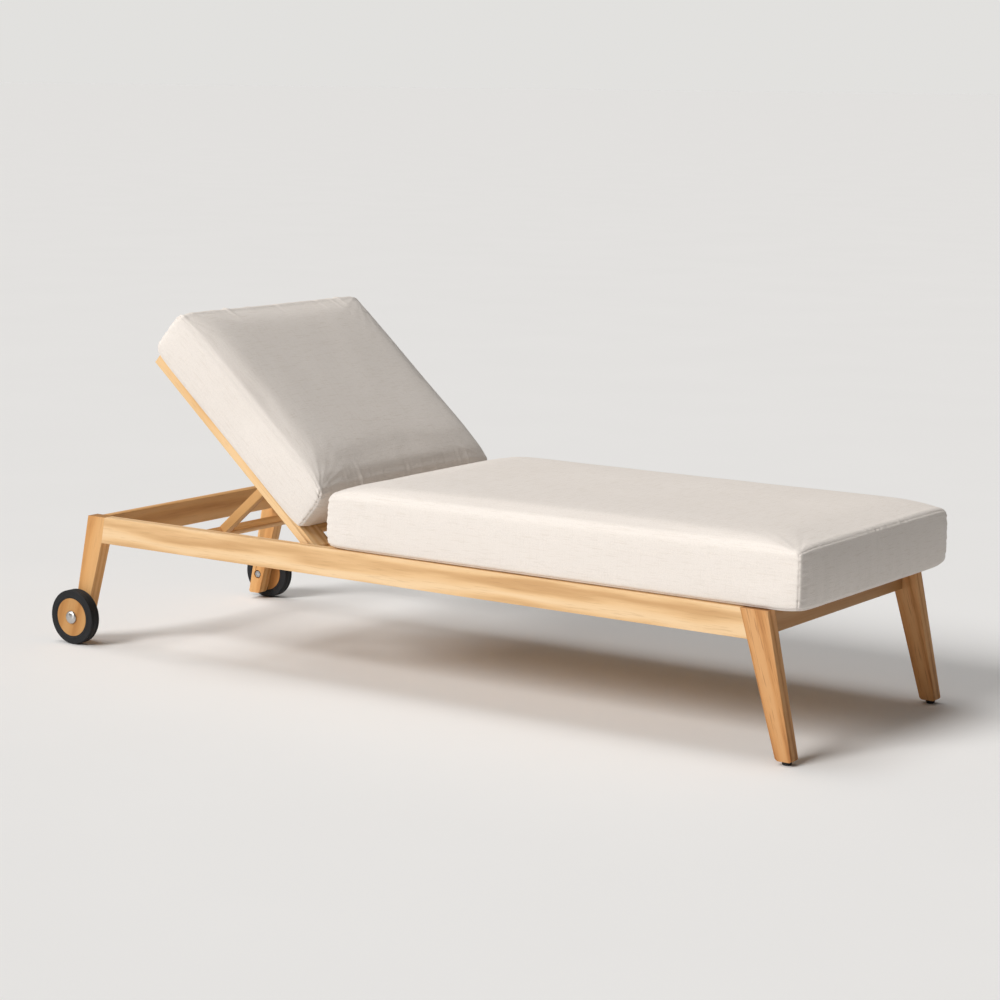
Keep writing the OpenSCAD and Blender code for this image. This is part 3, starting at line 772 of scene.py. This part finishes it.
coverForm = {
    "softReach": 0.05,     # the long edges grow soft this far from the ends
    "bulgeFade": 0.05,     # the bulge fades out this far inside a face
    "bulgeReach": 0.04,    # and is full about this far from the corners
    "facingShare": 0.25,   # the two cushions face each other at one end, and bulge less there
    "tuckReach": 0.026,
    "tuckPull": 0.4,
    "rollTop": 0.3,        # the rolled edge ends at this share of the crown
}


# the cover's shape: rounded edges, a crowned top, bulging sides and a rolled top edge by the hinge
def coverShape(p, size, spec, form=coverForm):
    length, width, thick = size
    half = np.array(size) / 2
    centre = np.array((length / 2, 0, thick / 2))
    endRound, sideRound, topRound, baseRound = spec["round"]
    q = p - centre
    ends, sides, _, height = fromFaces(p, size)
    # the end seams are crisp and the long edges soft
    soft = smooth01(ends / form["softReach"])
    topRound = endRound + (topRound - endRound) * soft
    sideRound = endRound + (sideRound - endRound) * soft
    upRound = np.where(q[:, 2] > 0, topRound, baseRound)
    radii = np.stack([np.full(len(p), endRound), sideRound, upRound], axis=1)
    core = np.clip(q, -(half - radii), half - radii)
    over = (q - core) / radii
    reach = np.linalg.norm(over, axis=1)
    over /= np.maximum(reach, 1.0)[:, None]
    q = core + over * radii + centre
    crown = spec["crown"] * rises(ends, spec["crownReach"]) * rises(sides, spec["crownReach"])
    crown += spec["farEndRise"] * smooth01(p[:, 0] / length) * rises(sides, 0.012)
    q[:, 2] += crown * smooth01(height / thick) ** 2
    belly = np.sin(math.pi * np.clip(height / thick, 0, 1)) ** 0.8
    outY = np.sign(p[:, 1]) * smooth01(1 - sides / form["bulgeFade"])
    q[:, 1] += outY * spec["sideBulge"] * belly * rises(ends, form["bulgeReach"])
    hingeHalf = p[:, 0] < length / 2
    outX = np.where(hingeHalf, -1.0, 1.0) * smooth01(1 - ends / form["bulgeFade"])
    outX[hingeHalf] *= form["facingShare"]
    q[:, 0] += outX * spec["sideBulge"] * belly * rises(sides, form["bulgeReach"])
    # the corners are drawn in and towards mid height, where the cover is pulled tight
    level = height / thick
    tuck = spec["cornerTuck"] * np.exp(-(np.hypot(ends, sides) / form["tuckReach"]) ** 1.5)
    pull = tuck * np.abs(2 * level - 1) ** 3 * form["tuckPull"]
    q[:, 0] += np.where(hingeHalf, 1.0, -1.0) * pull
    q[:, 1] -= np.sign(p[:, 1]) * pull
    q[:, 2] += tuck * (smooth01((0.45 - level) / 0.45) - smooth01((level - 0.55) / 0.45))
    # the roll: a square corner is mapped to a circle, so that the mesh lines spread evenly round it
    radius = spec["frontRadius"]
    top = thick + spec["crown"] * form["rollTop"]
    inX = radius - q[:, 0]
    inZ = q[:, 2] - (top - radius)
    both = (inX > 0) & (inZ > 0)
    u = np.clip(inX / radius, 0, 1.2)
    v = np.clip(inZ / radius, 0, 1.3)
    q[:, 0] = np.where(both, radius - radius * u * np.sqrt(np.maximum(1 - v * v / 2, 0.2)), q[:, 0])
    q[:, 2] = np.where(both, top - radius + radius * v * np.sqrt(np.maximum(1 - u * u / 2, 0.2)), q[:, 2])
    return q


clothSettings = {
    "quality": 5,
    "mass": 0.3,
    "tension_stiffness": 16,
    "compression_stiffness": 16,
    "shear_stiffness": 6,
    "bending_stiffness": 0.35,
    "use_pressure": True,
    "uniform_pressure_force": 4,
    "vertex_group_mass": "sewn",
}
lastFrame = 20


# cloth under pressure, stepped and read back as plain coordinates
def swell(name, mesh, pinned, spec):
    obj = addObject(name, mesh)
    group = obj.vertex_groups.new(name="sewn")
    group.add([int(index) for index in np.nonzero(pinned)[0]], 1.0, "REPLACE")
    cloth = obj.modifiers.new("cloth", "CLOTH")
    for key, value in clothSettings.items():
        setattr(cloth.settings, key, value)
    cloth.settings.shrink_min = -spec["looseCover"]
    cloth.settings.effector_weights.gravity = 0
    cloth.collision_settings.use_collision = False
    cloth.collision_settings.use_self_collision = False
    cloth.point_cache.frame_start = 1
    cloth.point_cache.frame_end = lastFrame
    scene = bpy.context.scene
    for step in range(1, lastFrame + 1):
        scene.frame_set(step)
    shaped = applied(obj)
    places = coordsOf(shaped)
    scene.frame_set(1)
    bpy.data.objects.remove(obj)
    bpy.data.meshes.remove(shaped)
    return places


# averages a value per point with its neighbours along the mesh edges
def evened(mesh, values, rounds):
    pairs = np.empty(len(mesh.edges) * 2, np.int32)
    mesh.edges.foreach_get("vertices", pairs)
    a, b = pairs.reshape(-1, 2).T
    count = len(values)
    touching = np.bincount(a, minlength=count) + np.bincount(b, minlength=count)
    for _ in range(rounds):
        summed = np.bincount(a, values[b], count) + np.bincount(b, values[a], count)
        values = 0.5 * values + 0.5 * summed / touching
    return values


def evenedAxes(mesh, vectors, rounds):
    return np.stack([evened(mesh, vectors[:, axis], rounds) for axis in range(3)], axis=1)


# rounds of evening for the rolled edge, for the swelling and for the sideways slip of the cloth
evening = {"roll": 12, "swelling": 10, "slide": 30, "slideShare": 0.5}


def cushionMesh(name, size, spec):
    mesh, lattice = gridBox(size, spec["pitch"])
    block = coordsOf(mesh)
    cover = coverShape(block, size, spec)
    # the roll runs softly into the crown
    rolled = smooth01(2.2 - block[:, 0] / spec["frontRadius"]) * smooth01(block[:, 2] / size[2] * 2 - 0.6)
    cover += (evenedAxes(mesh, cover, evening["roll"]) - cover) * rolled[:, None]
    putCoords(mesh, cover)
    normals = normalsOf(mesh)
    onEnd, onSide, onBase, onTop = lattice.T
    sewn = onBase | (onEnd & onSide) | (onEnd & onTop)
    ends, sides, fromTop, height = fromFaces(block, size)
    seamGap = np.minimum(np.hypot(ends, sides), np.hypot(ends, fromTop))
    inward = smooth01(np.minimum(seamGap, height) / 0.05)
    sunk = cover - normals * (inward * spec["sink"])[:, None]
    putCoords(mesh, sunk)
    move = swell(name + "Cloth", mesh.copy(), sewn, spec) - sunk
    reach = np.linalg.norm(move, axis=1)
    limited = spec["cap"] * np.tanh(reach / spec["cap"])
    shaped = sunk + move * (limited / np.maximum(reach, 1e-9))[:, None]
    # keep the filling near the cover's shape, so that only its own unevenness is left
    away = shaped - cover
    outwards = np.einsum("ij,ij->i", away, normals)
    held = evened(mesh, spec["held"] * np.tanh(outwards / spec["held"]), evening["swelling"])
    slide = away - normals * outwards[:, None]
    slide = evenedAxes(mesh, slide, evening["slide"]) * evening["slideShare"]
    shaped = cover + slide + normals * held[:, None]
    print(name, "moved at most", round(float(reach.max()) * 1000, 1), "mm,",
          "mean swelling", round(float(outwards.mean()) * 1000, 2), "mm")
    shaped = np.where(sewn[:, None], cover, shaped)
    shaped[:, 2] = np.maximum(shaped[:, 2], 0)
    putCoords(mesh, shaped)
    # each point keeps its place on the plain block, which the finer mesh then knows too
    kept = mesh.attributes.new("blockPlace", "FLOAT_VECTOR", "POINT")
    kept.data.foreach_set("vector", block.astype(np.float32).ravel())

    finer = addObject(name + "Finer", mesh)
    subdivide = finer.modifiers.new("finer", "SUBSURF")
    subdivide.levels = subdivide.render_levels = 1
    result = applied(finer)
    bpy.data.objects.remove(finer)
    places = coordsOf(result)
    normals = normalsOf(result)
    start = vectorsOf(result.attributes["blockPlace"].data, "vector")
    places += normals * creases(start, size, spec)[:, None]
    places[:, 2] = np.maximum(places[:, 2], 0)
    putCoords(result, places)
    result.attributes.remove(result.attributes["blockPlace"])
    return result, start


creaseSpec = {
    "faceEdge": 0.006,       # a face's own creases fade out this far behind it
    "acrossWaves": (0.017, 0.026, 0.039, 0.071),   # wave lengths of the gathers, in metres
    "patchWaves": (0.11, 0.19, 0.37),
    "uprightWaves": (0.011, 0.017, 0.029),
    "alongWaves": (0.023, 0.037, 0.068),
    "foldWaves": (0.047, 0.083, 0.15),
    "fold": 0.0016,          # heights and depths
    "drag": 0.0011,
    "uneven": 0.0020,
    "valley": 0.0020,
    "endRoll": 0.0016,
    "valleyReach": 0.0032,
    "baseValleyReach": 0.0030,
}


# height of the puckers along the seams, the seam valleys and the slow unevenness of the filling
def creases(p, size, spec, look=creaseSpec):
    x, y, z = p[:, 0], p[:, 1], p[:, 2]
    seed, pucker = spec["seed"], spec["pucker"]
    ends, sides, fromTop, height = fromFaces(p, size)
    onEnd, onSide, onTop = [smooth01(1 - gap / look["faceEdge"]) for gap in (ends, sides, fromTop)]
    tall = np.zeros(len(p))

    def band(distance, reach):
        return np.exp(-(np.maximum(distance, 0) / reach) ** 1.3)

    across = waves(y, seed + 1, look["acrossWaves"], 1.4)
    patchy = smooth01(0.5 + waves(y, seed + 41, look["patchWaves"]))
    # gathers that run away from the seams at the two ends, on the end faces and on the top
    tall += pucker * 1.1 * across * patchy * onEnd * (band(fromTop, 0.030) + band(height, 0.030))
    tall += pucker * 1.3 * across * patchy * onTop * band(ends, 0.034)
    # gathers beside the upright corner seams
    upright = waves(z, seed + 2, look["uprightWaves"], 1.3)
    tall += pucker * 1.0 * upright * onSide * band(ends, 0.022)
    tall += pucker * 1.2 * upright * onEnd * band(sides, 0.026)
    # gathers above the base seam along the sides
    along = waves(x, seed + 3, look["alongWaves"], 1.4)
    tall += pucker * 0.45 * along * onSide * band(height, 0.020)
    # soft folds down the end faces
    folds = waves(y + 0.14 * z, seed + 5, look["foldWaves"], 1.2)
    tall += look["fold"] * folds * onEnd * smooth01(fromTop / 0.02) * band(height - 0.01, 0.08)
    # diagonal drags from the corners across the top
    for cornerX in (0.0, size[0]):
        away = np.hypot(x - cornerX, sides)
        drag = waves(np.arctan2(sides, np.abs(x - cornerX)) * 0.09, seed + 11, (0.021, 0.034))
        tall += look["drag"] * drag * onTop * band(away, 0.11) * smooth01(away / 0.03)
    # slow unevenness of the filling
    slow = waves(x + 0.4 * y, seed + 7, (0.23, 0.41, 0.67)) * waves(y - 0.3 * x, seed + 8, (0.19, 0.33))
    tall += look["uneven"] * slow * smooth01(height / 0.03) * smooth01(np.maximum(ends, sides) / 0.05)
    # narrow valleys where the panels are sewn together
    reach = look["valleyReach"]
    valley = band(np.hypot(ends, sides), reach) + band(np.hypot(ends, fromTop), reach)
    valley += band(np.hypot(np.minimum(ends, sides), height), look["baseValleyReach"])
    tall -= look["valley"] * np.minimum(valley, 1)
    # the cover rolls up just inside the end seams
    tall += look["endRoll"] * np.exp(-((ends - 0.011) / 0.007) ** 2) * onTop
    return tall


seamSpec = {"radius": 0.0009, "sides": 6, "sunk": 0.30, "step": 0.004}


# thin sewn seams that lie partly sunk in the cover: each path is a list of places on the block
def seamCord(name, mesh, start, paths, mat, node, place, spec=seamSpec):
    places, normals = coordsOf(mesh), normalsOf(mesh)
    work = bmesh.new()
    radius, sides = spec["radius"], spec["sides"]
    for points, closed in paths:
        settled = []
        for point in points:
            nearest = int(np.argmin(((start - np.array(point)) ** 2).sum(axis=1)))
            settled.append((Vector(places[nearest]), Vector(normals[nearest])))
        settled = [pair for k, pair in enumerate(settled)
                   if k == 0 or (pair[0] - settled[k - 1][0]).length > 1e-4]
        count = len(settled)
        rings = []
        for i, (here, normal) in enumerate(settled):
            ahead = settled[(i + 1) % count][0] if closed or i < count - 1 else here
            behind = settled[i - 1][0] if closed or i > 0 else here
            along = (ahead - behind).normalized()
            side = along.cross(normal).normalized()
            up = side.cross(along).normalized()
            centre = here - up * radius * spec["sunk"]
            rings.append([work.verts.new(centre + (side * math.cos(a) + up * math.sin(a)) * radius)
                          for a in [2 * math.pi * k / sides for k in range(sides)]])
        for i in range(count if closed else count - 1):
            here, there = rings[i], rings[(i + 1) % count]
            for k in range(sides):
                work.faces.new((here[k], here[(k + 1) % sides], there[(k + 1) % sides], there[k]))
        if not closed:
            work.faces.new(rings[0])
            work.faces.new(list(reversed(rings[-1])))
    bmesh.ops.recalc_face_normals(work, faces=work.faces)
    cord = bpy.data.meshes.new(name)
    work.to_mesh(cord)
    work.free()
    cord.shade_smooth()
    obj = addObject(name, cord)
    obj.matrix_world = place
    setMaterial(obj, mat)
    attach(obj, bodyOf[node])


def straight(a, b):
    count = max(2, round(math.dist(a, b) / seamSpec["step"]))
    return [tuple(a[i] + (b[i] - a[i]) * k / count for i in range(3)) for k in range(count + 1)]


seatLinen = linen("seatLinen", 0.0)
backLinen = linen("backLinen", 1.3)


def makeCushion(name, node, size, spec, place, mat):
    mesh, start = cushionMesh(name, size, spec)
    mesh.shade_smooth()
    obj = addPiece(name, mesh, node, mat, place)
    length, width, thick = size
    left, right = width / 2, -width / 2
    paths = []
    for x in (0, length):
        paths += [(straight((x, left, 0), (x, left, thick)), False),
                  (straight((x, right, 0), (x, right, thick)), False),
                  (straight((x, right, thick), (x, left, thick)), False)]
    around = [(0, right, 0), (length, right, 0), (length, left, 0), (0, left, 0)]
    base = []
    for a, b in zip(around, around[1:] + around[:1]):
        base += straight(a, b)[:-1]
    paths.append((base, True))
    seamCord(name + "Seams", mesh, start, paths, mat, node, place)


low, high = boxes["seat_cushion"]
lift = 0.0004      # the base just clears what it rests on
seatSize = (high.x - low.x, high.y - low.y, high.z - low.z - lift)
seatPlace = Matrix.Translation((low.x, 0, low.z + lift))
makeCushion("seatCushion", "seat_cushion", seatSize, seatSpec, seatPlace, seatLinen)
print("seat cushion sewn and filled")

# the back cushion's own space: X up the backrest, Z out of its front, origin at its lower end
turn = Matrix((upBack, -acrossY, outOfBack)).transposed()
local = [turn.transposed() @ (v.co - hinge) for v in frame["nodes"]["back_cushion"].data.vertices]
lows = [min(v[i] for v in local) for i in range(3)]
highs = [max(v[i] for v in local) for i in range(3)]
longer = 0.003     # the filled cushion stands a little past the plain block's top
backSize = (highs[0] - lows[0] + longer, highs[1] - lows[1], highs[2] - lows[2] - lift)
backPlace = Matrix.Translation(hinge + turn @ Vector((lows[0], 0, lows[2] + lift))) @ turn.to_4x4()
makeCushion("backCushion", "back_cushion", backSize, backSpec, backPlace, backLinen)
print("back cushion sewn and filled")


studio = {
    "aim": (0.0, 0.067, 0.3915),
    "azimuth": 34.43,
    "elevation": 9.24,
    "roll": 0.69,
    "distance": 6.166,
    "lens": 95.17,
    "floorSize": 400.0,
    "floorTones": (0.835, 0.845),
    "sky": (0.0, 0.26),               # how strong, on its far side and towards its brightest place
    "skyTowards": (-0.7, -0.3, 0.65),
    "skyColor": (1, 0.95, 0.89),
    "backdrop": (0.760, 0.752, 0.734),
}


def makeFloor():
    bpy.ops.mesh.primitive_plane_add(size=studio["floorSize"], location=(0, 0, -0.0005))
    floor = bpy.context.object
    floor.name = "studioFloor"
    mat, tree, shader, coords = newMaterial("paleFloor")
    haze = noiseNode(tree, coords["Object"], 1.5, 3.0, 0.5)
    darker, paler = [[tone] * 3 for tone in studio["floorTones"]]
    tree.links.new(rampNode(tree, haze, [(0.3, darker), (0.7, paler)]), shader.inputs["Base Color"])
    setInputs(shader, {"Roughness": 0.9, "Specular IOR Level": 0.1})
    setMaterial(floor, mat)


# a very wide, distant light: towards points from the lounger to the light
def softSun(name, towards, strength, spread, color=(1, 1, 1)):
    data = bpy.data.lights.new(name, "SUN")
    data.energy = strength
    data.angle = math.radians(spread)
    data.color = color
    obj = addObject(name, data)
    obj.location = Vector(towards) * 4
    obj.rotation_euler = Vector(towards).to_track_quat("Z", "Y").to_euler()


# a soft surrounding light, strongest from the side of the key light; the camera sees an even backdrop
def makeWorld():
    world = bpy.data.worlds.new("studio")
    bpy.context.scene.world = world
    world.use_nodes = True
    tree = world.node_tree
    background = tree.nodes["Background"]
    setInputs(background, {"Color": (*studio["skyColor"], 1)})
    coords = addNode(tree, "ShaderNodeTexCoord")
    facing = addNode(tree, "ShaderNodeVectorMath", operation="DOT_PRODUCT")
    tree.links.new(coords.outputs["Generated"], facing.inputs[0])
    facing.inputs[1].default_value = Vector(studio["skyTowards"]).normalized()
    fall = addNode(tree, "ShaderNodeMapRange")
    setInputs(fall, {"From Min": -1.0, "To Min": studio["sky"][0], "To Max": studio["sky"][1]})
    tree.links.new(facing.outputs["Value"], fall.inputs["Value"])
    tree.links.new(fall.outputs["Result"], background.inputs["Strength"])
    seen = addNode(tree, "ShaderNodeBackground", Color=(*studio["backdrop"], 1), Strength=1.0)
    path = addNode(tree, "ShaderNodeLightPath")
    mix = addNode(tree, "ShaderNodeMixShader")
    tree.links.new(path.outputs["Is Camera Ray"], mix.inputs[0])
    tree.links.new(background.outputs[0], mix.inputs[1])
    tree.links.new(seen.outputs[0], mix.inputs[2])
    tree.links.new(mix.outputs[0], tree.nodes["World Output"].inputs["Surface"])


def makeCamera():
    data = bpy.data.cameras.new("studioCamera")
    data.lens = studio["lens"]
    data.sensor_width = 36.0
    data.clip_end = 200.0
    camera = addObject("studioCamera", data)
    azimuth, elevation = math.radians(studio["azimuth"]), math.radians(studio["elevation"])
    back = Vector((math.sin(azimuth) * math.cos(elevation), -math.cos(azimuth) * math.cos(elevation),
                   math.sin(elevation)))
    camera.location = Vector(studio["aim"]) + back * studio["distance"]
    look = (-back).to_track_quat("-Z", "Y")
    spin = Matrix.Rotation(math.radians(studio["roll"]), 4, "Z")
    camera.rotation_mode = "QUATERNION"
    camera.rotation_quaternion = (look.to_matrix().to_4x4() @ spin).to_quaternion()
    bpy.context.scene.camera = camera


makeFloor()
makeWorld()
softSun("keySun", (-0.24, -0.77, 0.59), 2.5, 26, (1.0, 0.985, 0.965))
softSun("topSun", (-0.25, 0.0, 0.97), 0.9, 28)
makeCamera()
scene = bpy.context.scene
scene.view_settings.view_transform = "Standard"
scene.view_settings.look = "None"
print("studio ready")
